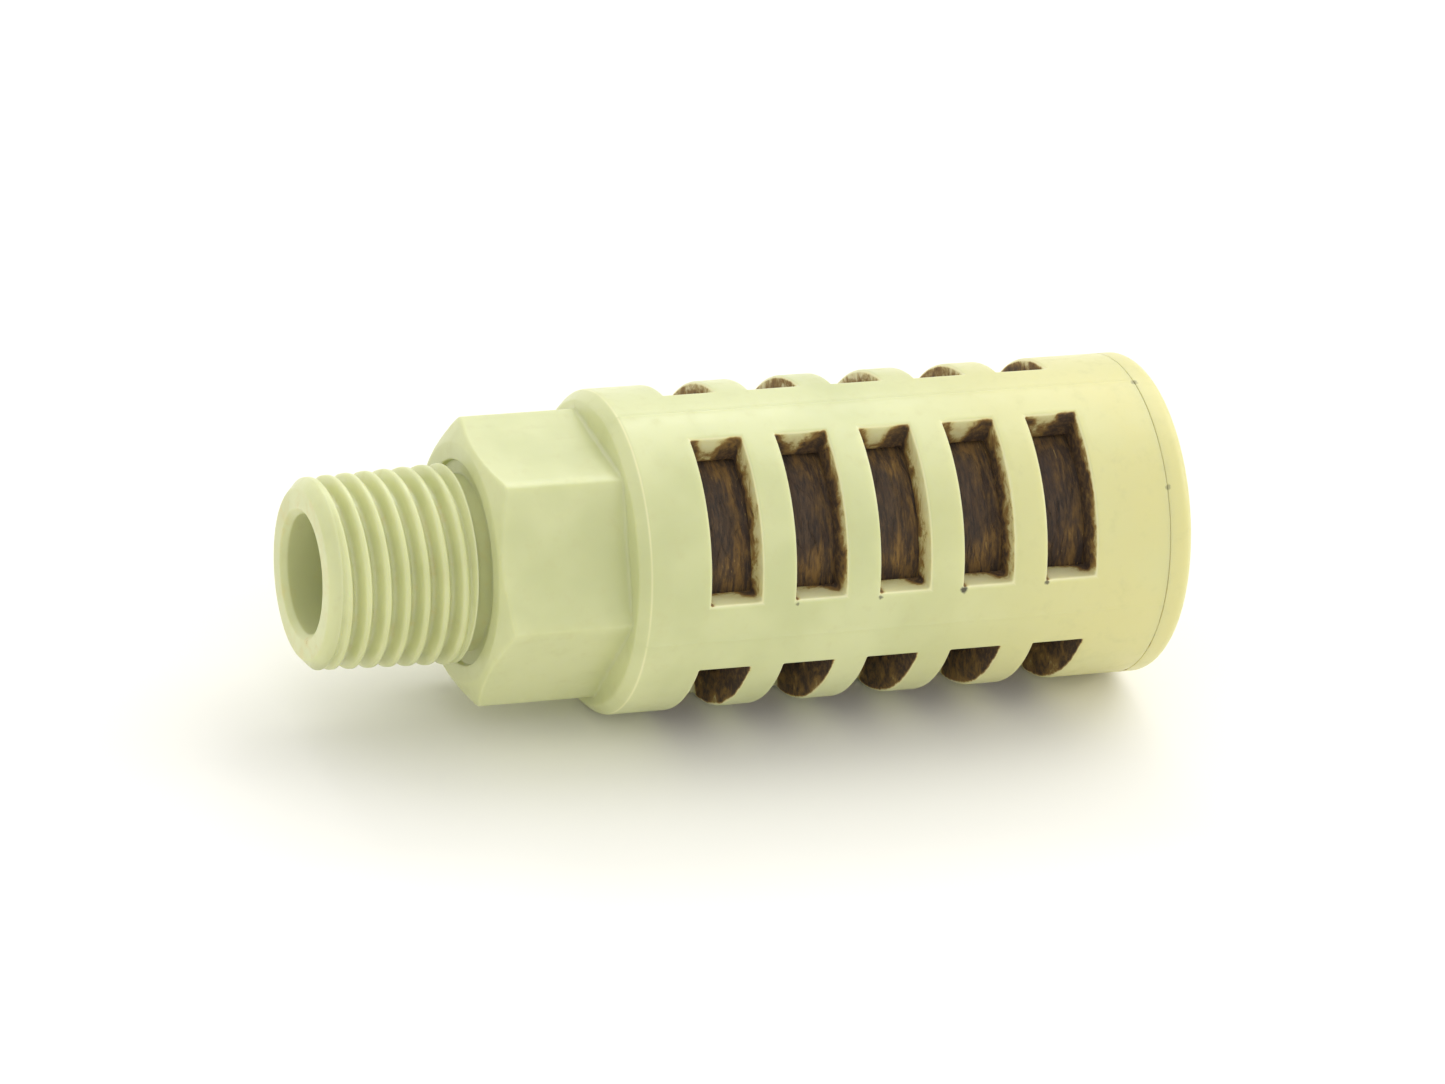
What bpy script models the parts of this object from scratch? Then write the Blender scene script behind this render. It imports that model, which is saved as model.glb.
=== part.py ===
"""Screw-in pneumatic exhaust muffler, as the four pieces it is assembled from.

muffler_body     one moulding: tapered pipe thread, wrench hexagon, chamber floor and slotted cage
absorber_sleeve  the fibrous tube that the air leaves through
core_tube        the slotted inner tube that keeps the sleeve's bore open
end_cap          the cap that closes the cage and centres the core

Every piece is modelled along its own +Z, from the thread's nose to the closed end, and hangs on one empty
that turns +Z to the world's +X. The origin is on the axis, at the seat of the hexagon. Units are metres.
"""

import math

import bmesh
import bpy

# Cage and overall length
CAGE_RADIUS = 0.011
CAGE_WALL = 0.0025
HEX_LENGTH = 0.009
CAGE_LENGTH = 0.040
CLOSED_END = HEX_LENGTH + CAGE_LENGTH
FLOOR_THICKNESS = 0.0024
SHOULDER_CHAMFER = 0.0007
NECK_RADIUS = 0.0078
CUTTER_OVERSHOOT = CAGE_WALL / 2

# Windows: rows along the axis, columns around it
WINDOW_ROWS = 5
WINDOW_COLUMNS = 4
WINDOW_PITCH = 0.00605
WINDOW_WIDTH = 0.0036
WINDOW_ANGLE = math.radians(62)
FIRST_COLUMN_ANGLE = math.radians(50)
CLOSED_BAND = 0.0072

# Tapered thread, R 1/4: 19 turns to the inch, tapering 1 in 16 on the diameter
THREAD_PITCH = 0.0254 / 19
THREAD_DEPTH = 0.640327 * THREAD_PITCH
THREAD_TAPER = 1 / 16
GAUGE_RADIUS = 0.013157 / 2
GAUGE_LENGTH = 0.00601
NIPPLE_LENGTH = 0.011
NOSE_CHAMFER = 0.0007
RELIEF_LENGTH = 0.0009
RELIEF_RADIUS = 0.0059
RELIEF_SLOPE_LENGTH = 0.0003
CREST_SHARE = 0.22
ROWS_PER_PITCH = 6
RUN_OUT = 0.5 * THREAD_PITCH

# Wrench hexagon
HEX_ACROSS_FLATS = 0.017
HEX_SIDES = 6
HEX_SINK = 0.0004
HEX_BARREL_MARGIN = 0.0025
HEX_BARREL_SLOPE_LENGTH = 0.00205
HEX_BARREL_END = 2 * HEX_LENGTH
SEAT_RADIUS = 0.0081
SEAT_BORE_RADIUS = 0.0069
SEAT_RECESS = 0.0004

# Inlet and chamber
BORE_RADIUS = 0.004
BORE_CHAMFER = 0.0004
CHAMBER_RADIUS = CAGE_RADIUS - CAGE_WALL
FLOOR_FACE = HEX_LENGTH + FLOOR_THICKNESS

# Clearance that keeps neighbouring pieces apart
GAP = 0.0003

# End cap
CAP_THICKNESS = 0.00165
CAP_FILLET = 0.0008
CAP_UNDERSIDE = CLOSED_END - CAP_THICKNESS
CAGE_RIM = CAP_UNDERSIDE - GAP
SPIGOT_LENGTH = 0.0025
SPIGOT_RADIUS = CHAMBER_RADIUS - GAP
SPIGOT_FACE = CAP_UNDERSIDE - SPIGOT_LENGTH
BOSS_LENGTH = 0.003
BOSS_CHAMFER = 0.0006
GATE_RADIUS = 0.0017
GATE_DEPTH = 0.0003

# Core tube
CORE_RADIUS = 0.0049
CORE_WALL = 0.001
CORE_BORE = CORE_RADIUS - CORE_WALL
CORE_SOCKET_DEPTH = 0.0014
CORE_START = FLOOR_FACE - CORE_SOCKET_DEPTH + GAP
CORE_END = SPIGOT_FACE - GAP
CORE_SLOT_ROWS = 6
CORE_SLOT_COLUMNS = 4
CORE_SLOT_LENGTH = 0.0036
CORE_SLOT_ANGLE = math.radians(48)
CORE_SLOT_PITCH = 0.0051
CORE_FIRST_SLOT = 0.0132

# Absorber sleeve
SLEEVE_RADIUS = CHAMBER_RADIUS - GAP
SLEEVE_BORE = CORE_RADIUS + GAP
SLEEVE_START = FLOOR_FACE + GAP
SLEEVE_END = SPIGOT_FACE - GAP
SLEEVE_EDGE = 0.0004

# Facets
TURNED_STEPS = 40
CORE_STEPS = 32
ARC_STEPS = 12
FILLET_STEPS = 5
MERGE_DISTANCE = 0.00001
SHARP_ANGLE = math.radians(35)

# Colour, roughness and metallic value of each piece
FINISHES = {
    "muffler_body": ((0.80, 0.78, 0.47), 0.42, 0.0),
    "end_cap": ((0.82, 0.79, 0.46), 0.40, 0.0),
    "absorber_sleeve": ((0.09, 0.05, 0.03), 0.95, 0.0),
    "core_tube": ((0.72, 0.68, 0.50), 0.50, 0.0),
}


def clear_scene():
    for obj in list(bpy.data.objects):
        bpy.data.objects.remove(obj, do_unlink=True)


def new_collection(name, parent=None):
    made = bpy.data.collections.new(name)
    (parent or bpy.context.scene.collection).children.link(made)
    return made


def finish_material(name):
    colour, roughness, metallic = FINISHES[name]
    material = bpy.data.materials.new(name)
    material.use_nodes = True
    shader = material.node_tree.nodes["Principled BSDF"]
    shader.inputs["Base Color"].default_value = (*colour, 1.0)
    shader.inputs["Roughness"].default_value = roughness
    shader.inputs["Metallic"].default_value = metallic
    return material


def mesh_object(name, mesh, collection, axis):
    obj = bpy.data.objects.new(name, mesh)
    collection.objects.link(obj)
    obj.parent = axis
    return obj


def hide_cutter(obj):
    obj.hide_render = True
    obj.display_type = "WIRE"
    return obj


def finish_piece(obj):
    obj.data.materials.clear()
    obj.data.materials.append(finish_material(obj.name))
    obj.data.shade_smooth()
    obj.data.set_sharp_from_angle(angle=SHARP_ANGLE)
    return obj


def evaluated_mesh(obj):
    """The object's mesh with its modifiers carried out."""
    bpy.context.view_layer.update()
    graph = bpy.context.evaluated_depsgraph_get()
    return bpy.data.meshes.new_from_object(obj.evaluated_get(graph))


def keep_evaluated(obj):
    """Carries out the object's modifiers for good."""
    mesh = evaluated_mesh(obj)
    obj.modifiers.clear()
    obj.data = mesh
    return obj


def add_screw(obj, steps):
    screw = obj.modifiers.new("turn", "SCREW")
    screw.axis = "Z"
    screw.angle = math.tau
    screw.steps = steps
    screw.render_steps = steps
    screw.use_merge_vertices = True
    screw.merge_threshold = MERGE_DISTANCE


def turned(name, outline, collection, axis, steps=TURNED_STEPS):
    """A turned piece from (radius, height) points that run down its outer side.

    An outline whose two ends lie on the axis stays open. Any other one is closed, and makes a ring.
    """
    mesh = bpy.data.meshes.new(name)
    points = [(radius, 0.0, height) for radius, height in outline]
    edges = [(i, i + 1) for i in range(len(points) - 1)]
    if outline[0][0] > 0:
        edges.append((len(points) - 1, 0))
    mesh.from_pydata(points, edges, [])
    obj = mesh_object(name, mesh, collection, axis)
    add_screw(obj, steps)
    return obj


def add_boolean(obj, operation, other):
    boolean = obj.modifiers.new(operation.lower(), "BOOLEAN")
    boolean.operation = operation
    boolean.solver = "EXACT"
    if isinstance(other, bpy.types.Collection):
        boolean.operand_type = "COLLECTION"
        boolean.collection = other
    else:
        boolean.object = other


def polar(radius, angle):
    return radius * math.cos(angle), radius * math.sin(angle)


def arc(radius, start, end):
    return [
        polar(radius, start + (end - start) * i / ARC_STEPS)
        for i in range(ARC_STEPS + 1)
    ]


def sector_cutter(name, inner, outer, angle, length, collection, axis):
    """A ring sector of the given angle, centred on +X and on the height 0, as a closed mesh."""
    outline = arc(inner, -angle / 2, angle / 2) + arc(outer, angle / 2, -angle / 2)
    curve = bpy.data.curves.new(name + "_outline", "CURVE")
    curve.dimensions = "2D"
    curve.fill_mode = "BOTH"
    curve.extrude = length / 2
    spline = curve.splines.new("POLY")
    spline.points.add(len(outline) - 1)
    for point, (x, y) in zip(spline.points, outline):
        point.co = (x, y, 0.0, 1.0)
    spline.use_cyclic_u = True
    guide = mesh_object(name + "_guide", curve, collection, axis)
    mesh = evaluated_mesh(guide)
    bpy.data.objects.remove(guide, do_unlink=True)
    filled = bmesh.new()
    filled.from_mesh(mesh)
    bmesh.ops.remove_doubles(filled, verts=filled.verts, dist=MERGE_DISTANCE)
    bmesh.ops.recalc_face_normals(filled, faces=filled.faces)
    filled.to_mesh(mesh)
    filled.free()
    return hide_cutter(mesh_object(name, mesh, collection, axis))


def add_rows(obj, count, pitch):
    array = obj.modifiers.new("rows", "ARRAY")
    array.count = count
    array.use_relative_offset = False
    array.use_constant_offset = True
    array.constant_offset_displace = (0.0, 0.0, pitch)
    array.use_merge_vertices = False


def window_cutters(cutters, axis):
    """One cutter to each column of windows, with side walls that point at the axis."""
    columns = new_collection("window_cutters", cutters)
    first_row = CLOSED_END - CLOSED_BAND - WINDOW_WIDTH / 2
    for column in range(WINDOW_COLUMNS):
        cutter = sector_cutter(
            f"window_column_{column + 1}",
            CHAMBER_RADIUS - CUTTER_OVERSHOOT,
            CAGE_RADIUS + CUTTER_OVERSHOOT,
            WINDOW_ANGLE,
            WINDOW_WIDTH,
            columns,
            axis,
        )
        cutter.location.z = first_row
        cutter.rotation_euler.z = FIRST_COLUMN_ANGLE + math.tau * column / WINDOW_COLUMNS
        add_rows(cutter, WINDOW_ROWS, -WINDOW_PITCH)
    return columns


def thread_radius(height):
    """Radius of the tapered crest at a height. The nose is the small end."""
    gauge_height = -NIPPLE_LENGTH + GAUGE_LENGTH
    return GAUGE_RADIUS + (height - gauge_height) * THREAD_TAPER / 2


def groove_share(turn):
    """How deep the groove is, 0 on a crest and 1 in a root, at a place counted in turns."""
    from_crest = abs((turn + 0.5) % 1.0 - 0.5) * 2
    flank = (from_crest - CREST_SHARE) / (1 - 2 * CREST_SHARE)
    return min(max(flank, 0.0), 1.0)


def thread_fade(height):
    """1 along the thread, falling to 0 where it runs out at either end."""
    top = -RELIEF_LENGTH
    bottom = -NIPPLE_LENGTH + NOSE_CHAMFER
    nearest = min(top - height, height - bottom)
    return min(max(nearest / RUN_OUT, 0.0), 1.0)


def cut_thread(obj):
    """Sinks a right-hand helical groove into the tapered outside of the nipple."""
    top = -RELIEF_LENGTH
    bottom = -NIPPLE_LENGTH + NOSE_CHAMFER
    for vertex in obj.data.vertices:
        x, y, height = vertex.co
        radius = math.hypot(x, y)
        if not bottom < height < top or radius < RELIEF_RADIUS:
            continue
        turn = height / THREAD_PITCH - math.atan2(y, x) / math.tau
        depth = THREAD_DEPTH * groove_share(turn) * thread_fade(height)
        scale = (radius - depth) / radius
        vertex.co.x = x * scale
        vertex.co.y = y * scale


def nipple_outline():
    """Outer side of the threaded nipple, from the relief at the hexagon down to the nose."""
    top = -RELIEF_LENGTH
    bottom = -NIPPLE_LENGTH + NOSE_CHAMFER
    rows = round((top - bottom) / THREAD_PITCH * ROWS_PER_PITCH)
    heights = [top + (bottom - top) * i / rows for i in range(rows + 1)]
    nose_radius = thread_radius(bottom) - NOSE_CHAMFER
    return (
        [(RELIEF_RADIUS, top + RELIEF_SLOPE_LENGTH)]
        + [(thread_radius(height), height) for height in heights]
        + [(nose_radius, -NIPPLE_LENGTH)]
    )


def body_outline():
    """The whole moulding before its windows and hexagon: down the outside, then up the inside."""
    socket_radius = CORE_RADIUS + GAP
    socket_floor = FLOOR_FACE - CORE_SOCKET_DEPTH
    cage = [
        (CAGE_RADIUS, CAGE_RIM),
        (CAGE_RADIUS, HEX_LENGTH + SHOULDER_CHAMFER),
        (CAGE_RADIUS - SHOULDER_CHAMFER, HEX_LENGTH),
        (NECK_RADIUS, HEX_LENGTH),
        (NECK_RADIUS, SEAT_RECESS),
        (RELIEF_RADIUS, SEAT_RECESS),
    ]
    inside = [
        (BORE_RADIUS + BORE_CHAMFER, -NIPPLE_LENGTH),
        (BORE_RADIUS, -NIPPLE_LENGTH + BORE_CHAMFER),
        (BORE_RADIUS, socket_floor),
        (socket_radius, socket_floor),
        (socket_radius, FLOOR_FACE),
        (CHAMBER_RADIUS, FLOOR_FACE),
        (CHAMBER_RADIUS, CAGE_RIM),
    ]
    return cage + nipple_outline() + inside


def hexagon(collection, cutters, axis):
    """The wrench hexagon, with chamfered corners and a seat ring that the thread passes clear of."""
    corner_radius = HEX_ACROSS_FLATS / 2 / math.cos(math.pi / HEX_SIDES)
    barrel_radius = corner_radius + HEX_BARREL_MARGIN
    barrel = turned(
        "hexagon_barrel",
        [
            (0.0, HEX_BARREL_END),
            (barrel_radius, HEX_BARREL_END),
            (barrel_radius, HEX_BARREL_SLOPE_LENGTH),
            (SEAT_RADIUS, 0.0),
            (SEAT_RADIUS, -HEX_LENGTH),
            (0.0, -HEX_LENGTH),
        ],
        cutters,
        axis,
    )
    hide_cutter(barrel)
    bore = turned(
        "hexagon_seat_bore",
        [
            (0.0, HEX_BARREL_END),
            (SEAT_BORE_RADIUS, HEX_BARREL_END),
            (SEAT_BORE_RADIUS, -HEX_LENGTH),
            (0.0, -HEX_LENGTH),
        ],
        cutters,
        axis,
    )
    hide_cutter(bore)
    mesh = bpy.data.meshes.new("hexagon")
    prism = bmesh.new()
    bmesh.ops.create_cone(
        prism,
        cap_ends=True,
        segments=HEX_SIDES,
        radius1=corner_radius,
        radius2=corner_radius,
        depth=HEX_LENGTH + HEX_SINK,
    )
    prism.to_mesh(mesh)
    prism.free()
    obj = mesh_object("hexagon", mesh, collection, axis)
    obj.location.z = (HEX_LENGTH + HEX_SINK) / 2
    add_boolean(obj, "INTERSECT", barrel)
    add_boolean(obj, "DIFFERENCE", bore)
    return hide_cutter(obj)


def muffler_body(pieces, cutters, axis):
    body = turned("muffler_body", body_outline(), pieces, axis)
    keep_evaluated(body)
    cut_thread(body)
    add_boolean(body, "UNION", hexagon(cutters, cutters, axis))
    add_boolean(body, "DIFFERENCE", window_cutters(cutters, axis))
    return finish_piece(keep_evaluated(body))


def fillet(centre_radius, centre_height, radius, start, end):
    """Points of a rounded edge, from one angle to another about its centre."""
    points = []
    for i in range(FILLET_STEPS + 1):
        across, up = polar(radius, start + (end - start) * i / FILLET_STEPS)
        points.append((centre_radius + across, centre_height + up))
    return points


def end_cap(pieces, axis):
    """Cap flange, spigot that fills the cage's bore, and boss that centres the core."""
    boss_radius = CORE_BORE - GAP
    boss_face = SPIGOT_FACE - BOSS_LENGTH
    rim = fillet(
        CAGE_RADIUS - CAP_FILLET,
        CLOSED_END - CAP_FILLET,
        CAP_FILLET,
        math.pi / 2,
        0.0,
    )
    outline = [
        (0.0, CLOSED_END - GATE_DEPTH),
        (GATE_RADIUS - GATE_DEPTH, CLOSED_END - GATE_DEPTH),
        (GATE_RADIUS, CLOSED_END),
        *rim,
        (CAGE_RADIUS, CAP_UNDERSIDE),
        (SPIGOT_RADIUS, CAP_UNDERSIDE),
        (SPIGOT_RADIUS, SPIGOT_FACE),
        (boss_radius, SPIGOT_FACE),
        (boss_radius, boss_face + BOSS_CHAMFER),
        (boss_radius - BOSS_CHAMFER, boss_face),
        (0.0, boss_face),
    ]
    cap = turned("end_cap", outline, pieces, axis)
    return finish_piece(keep_evaluated(cap))


def absorber_sleeve(pieces, axis):
    outline = [
        (SLEEVE_BORE + SLEEVE_EDGE, SLEEVE_END),
        (SLEEVE_RADIUS - SLEEVE_EDGE, SLEEVE_END),
        (SLEEVE_RADIUS, SLEEVE_END - SLEEVE_EDGE),
        (SLEEVE_RADIUS, SLEEVE_START + SLEEVE_EDGE),
        (SLEEVE_RADIUS - SLEEVE_EDGE, SLEEVE_START),
        (SLEEVE_BORE + SLEEVE_EDGE, SLEEVE_START),
        (SLEEVE_BORE, SLEEVE_START + SLEEVE_EDGE),
        (SLEEVE_BORE, SLEEVE_END - SLEEVE_EDGE),
    ]
    sleeve = turned("absorber_sleeve", outline, pieces, axis)
    return finish_piece(keep_evaluated(sleeve))


def core_tube(pieces, cutters, axis):
    """Inner tube with rows of slots, which let the air out into the sleeve."""
    outline = [
        (CORE_RADIUS, CORE_END),
        (CORE_RADIUS, CORE_START),
        (CORE_BORE, CORE_START),
        (CORE_BORE, CORE_END),
    ]
    tube = turned("core_tube", outline, pieces, axis, CORE_STEPS)
    slots = new_collection("core_slot_cutters", cutters)
    for column in range(CORE_SLOT_COLUMNS):
        cutter = sector_cutter(
            f"core_slot_column_{column + 1}",
            CORE_BORE - CORE_WALL,
            CORE_RADIUS + CORE_WALL,
            CORE_SLOT_ANGLE,
            CORE_SLOT_LENGTH,
            slots,
            axis,
        )
        cutter.location.z = CORE_FIRST_SLOT + CORE_SLOT_LENGTH / 2
        cutter.rotation_euler.z = math.tau * (column + 0.5) / CORE_SLOT_COLUMNS
        add_rows(cutter, CORE_SLOT_ROWS, CORE_SLOT_PITCH)
    add_boolean(tube, "DIFFERENCE", slots)
    return finish_piece(keep_evaluated(tube))


def main():
    clear_scene()
    pieces = new_collection("pneumatic_muffler")
    cutters = new_collection("cutters")
    axis = bpy.data.objects.new("muffler_axis", None)
    axis.rotation_euler.y = math.pi / 2
    pieces.objects.link(axis)
    muffler_body(pieces, cutters, axis)
    absorber_sleeve(pieces, axis)
    core_tube(pieces, cutters, axis)
    end_cap(pieces, axis)


main()
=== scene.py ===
"""Looks of a screw-in pneumatic exhaust muffler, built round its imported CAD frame.

Four pieces stand for the four CAD solids: the moulded cage with its hexagon and thread, the cap, the
fibre sleeve and the core tube. Each is a skin of rings about the X axis. A place on it is a distance along
the axis, a radius, and an angle counted from the front (-Y) up to +Z. Units are metres.
"""

import math
import random

import bmesh
import bpy
import numpy as np
from mathutils import Matrix, Vector, noise


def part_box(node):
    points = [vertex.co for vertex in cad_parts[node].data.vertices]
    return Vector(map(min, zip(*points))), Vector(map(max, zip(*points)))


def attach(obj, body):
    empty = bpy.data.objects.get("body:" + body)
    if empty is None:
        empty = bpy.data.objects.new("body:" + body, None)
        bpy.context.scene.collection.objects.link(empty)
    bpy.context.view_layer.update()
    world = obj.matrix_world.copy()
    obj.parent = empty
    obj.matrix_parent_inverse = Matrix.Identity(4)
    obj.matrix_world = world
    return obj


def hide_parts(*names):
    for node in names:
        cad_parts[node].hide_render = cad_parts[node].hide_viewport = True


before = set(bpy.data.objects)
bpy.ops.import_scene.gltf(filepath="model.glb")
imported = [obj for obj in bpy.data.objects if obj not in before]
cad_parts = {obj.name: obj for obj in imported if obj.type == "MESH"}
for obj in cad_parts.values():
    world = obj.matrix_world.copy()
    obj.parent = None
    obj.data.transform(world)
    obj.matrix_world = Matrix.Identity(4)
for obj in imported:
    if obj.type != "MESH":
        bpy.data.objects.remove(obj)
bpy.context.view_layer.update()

MM = 0.001

# Cage, floor and rim
CAGE_RADIUS = 11.0 * MM
SKIN_RADIUS = CAGE_RADIUS - 0.03 * MM
CHAMBER_RADIUS = 8.5 * MM
SHOULDER = 9.0 * MM
SHOULDER_CHAMFER = 0.7 * MM
FLOOR_FACE = 11.4 * MM
CLOSED_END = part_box("end_cap")[1].x
SEAM = CLOSED_END - 1.8 * MM
SEAM_HALF_WIDTH = 0.008 * MM
CAGE_STEP = 0.65 * MM
WITNESS_HEIGHT = 0.025 * MM
WITNESS_HALF_DEGREES = 0.35

# Windows
WINDOW_ROWS = 5
WINDOW_COLUMNS = 4
WINDOW_PITCH = 6.05 * MM
WINDOW_WIDTH = 3.6 * MM
WINDOW_HALF_ANGLE = math.radians(31)
FIRST_COLUMN = math.radians(40)
CLOSED_BAND = 7.2 * MM
WINDOW_EDGE = 0.22 * MM
WALL_STEPS = 8
UPPER_COLUMN = 1
LOWER_COLUMN = 3
END_WALLS = (0.9, 0.985)
ROW_SOOT = (1.0, 0.8, 0.5, 0.85, 0.6)

# Hexagon and seat
FLAT_DISTANCE = 8.5 * MM
HEX_SIDES = 6
HEX_CORNER = 9.72 * MM
HEX_CORNER_SHARPNESS = 90
HEX_FILLET = 0.3 * MM
SEAT_RADIUS = 8.1 * MM
SEAT_SLOPE = 2.05
SEAT_SHARPNESS = 160
SEAT_BORE = 6.9 * MM
SEAT_RECESS = 0.4 * MM

# Nipple and its right-hand R 1/4 taper thread
PITCH = 25.4 * MM / 19
THREAD_DEPTH = 0.640327 * PITCH
TAPER = 1 / 32
GAUGE_RADIUS = 13.157 * MM / 2
GAUGE_PLANE = -4.99 * MM
NOSE = -11.0 * MM
THREAD_TOP = -0.9 * MM
THREAD_BOTTOM = -10.3 * MM
RELIEF_RADIUS = 5.9 * MM
CREST_SHARE = 0.22
THREAD_PHASE = 0.75
THREAD_ROUNDING = 0.4
ROWS_PER_PITCH = 14
BORE_RADIUS = 4.0 * MM
SOCKET_RADIUS = 5.2 * MM
SOCKET_FLOOR = 10.0 * MM

# Cap
CAP_FACE = CLOSED_END - 0.01 * MM
CAP_EDGE = 0.8 * MM
CAP_EDGE_STEPS = 10
CAP_COLUMN_STEP = 1.8
DISH_DEPTH = 0.05 * MM
GATE_FACE = CLOSED_END - 0.36 * MM
GATE_RADIUS = 1.7 * MM
NEAR_AXIS = 0.02 * MM
SPIGOT_FACE = 44.85 * MM
BOSS_RADIUS = 3.6 * MM
BOSS_FACE = 41.85 * MM
EJECTOR_CIRCLE = 6.9 * MM
EJECTOR_RADIUS = 0.9 * MM
EJECTOR_DEPTH = 0.035 * MM
EJECTOR_RIM_DEPTH = 0.03 * MM
EJECTOR_RIM_WIDTH = 0.13 * MM
EJECTOR_TURNS = [math.radians(45 + 90 * i) for i in range(4)]

# Dirt specks, as (distance along the axis, angle in degrees, size, strength)
SPECKS = [
    (38.2 * MM, 8.2, 0.17 * MM, 0.8),
    (32.15 * MM, 8.0, 0.27 * MM, 0.9),
    (26.1 * MM, 7.6, 0.16 * MM, 0.7),
    (20.1 * MM, 7.5, 0.12 * MM, 0.6),
    (47.2 * MM, 84.0, 0.24 * MM, 0.55),
    (47.25 * MM, 39.0, 0.18 * MM, 0.45),
]

# Sleeve and core
SLEEVE_START = 11.7 * MM
SLEEVE_END = 44.5 * MM
SLEEVE_RADIUS = 8.2 * MM
SLEEVE_BORE = 5.25 * MM
SLEEVE_CORNER = 0.35 * MM
SLEEVE_BACK = 95
SLEEVE_COLUMN_STEP = 1.8
MAT_STEP = 0.115 * MM
MAT_BASE = SLEEVE_RADIUS + 0.05 * MM
MAT_BULGE = 0.13 * MM
MAT_TOP = 8.47 * MM
LOOSE_FIBRES = 420
LOOSE_FIBRE_SEED = 11
LOOSE_FIBRE_STEPS = 8
LOOSE_FIBRE_BASE = SLEEVE_RADIUS + 0.2 * MM
LOOSE_FIBRE_TOP = 8.62 * MM
TUBE_SIDES = 3
CORE_RADIUS = 4.9 * MM
CORE_BORE = 3.9 * MM
CORE_START = 10.3 * MM
CORE_END = 44.5 * MM
CORE_EDGE = 0.12 * MM
CORE_COLUMNS = 4
CORE_FIRST_COLUMN = math.radians(46)
CORE_SOOT = 0.75
CORE_SLOT_ROWS = 6
CORE_SLOT_PITCH = 5.1 * MM
CORE_SLOT_LENGTH = 3.6 * MM
CORE_SLOT_HALF_ANGLE = math.radians(24)
CORE_FIRST_SLOT = 13.2 * MM

# Stage, lights (positions in metres, area lights' power in watts) and camera
FLOOR_HALF = 6.0
MODEL_CENTRE = (19.0 * MM, 0.0, 0.0)
WORLD_STRENGTH = 0.97
KEY_PLACE = (0.55, 0.3, 0.7)
KEY_ANGLE = math.radians(50)
KEY_STRENGTH = 0.8
CAMERA_AZIMUTH = math.radians(-24.5)
CAMERA_ELEVATION = math.radians(29.4)
CAMERA_ROLL = math.radians(8.2)
CAMERA_DISTANCE = 0.555
LENS_MM = 205.0
SENSOR_MM = 36.0


# ---------------------------------------------------------------- skins of rings


def spread(start, end, step):
    """Evenly spaced values from start to end, both included, at most a step apart."""
    count = max(1, math.ceil(abs(end - start) / step - 1e-6))
    return [start + (end - start) * i / count for i in range(count + 1)]


def degrees(start, end, step):
    return [math.radians(d) for d in np.arange(start, end, step)]


def soften(corners, steps=4):
    """Rows through corner rows of (x, radius, reach). A reach above 0 rounds the corner over that length."""
    rows = [(np.asarray(x, float), np.asarray(r, float), reach) for x, r, reach in corners]
    smooth = []
    for i, (x, r, reach) in enumerate(rows):
        if not reach:
            smooth.append((x, r))
            continue
        ends = []
        for px, pr, _ in (rows[i - 1], rows[(i + 1) % len(rows)]):
            share = min(0.5, reach / float(np.max(np.hypot(px - x, pr - r))))
            ends.append((x + (px - x) * share, r + (pr - r) * share))
        (ax, ar), (bx, br) = ends
        for k in range(steps + 1):
            t = k / steps
            a, b, c = (1 - t) ** 2, 2 * t * (1 - t), t**2
            smooth.append((a * ax + b * x + c * bx, a * ar + b * r + c * br))
    return smooth


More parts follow.
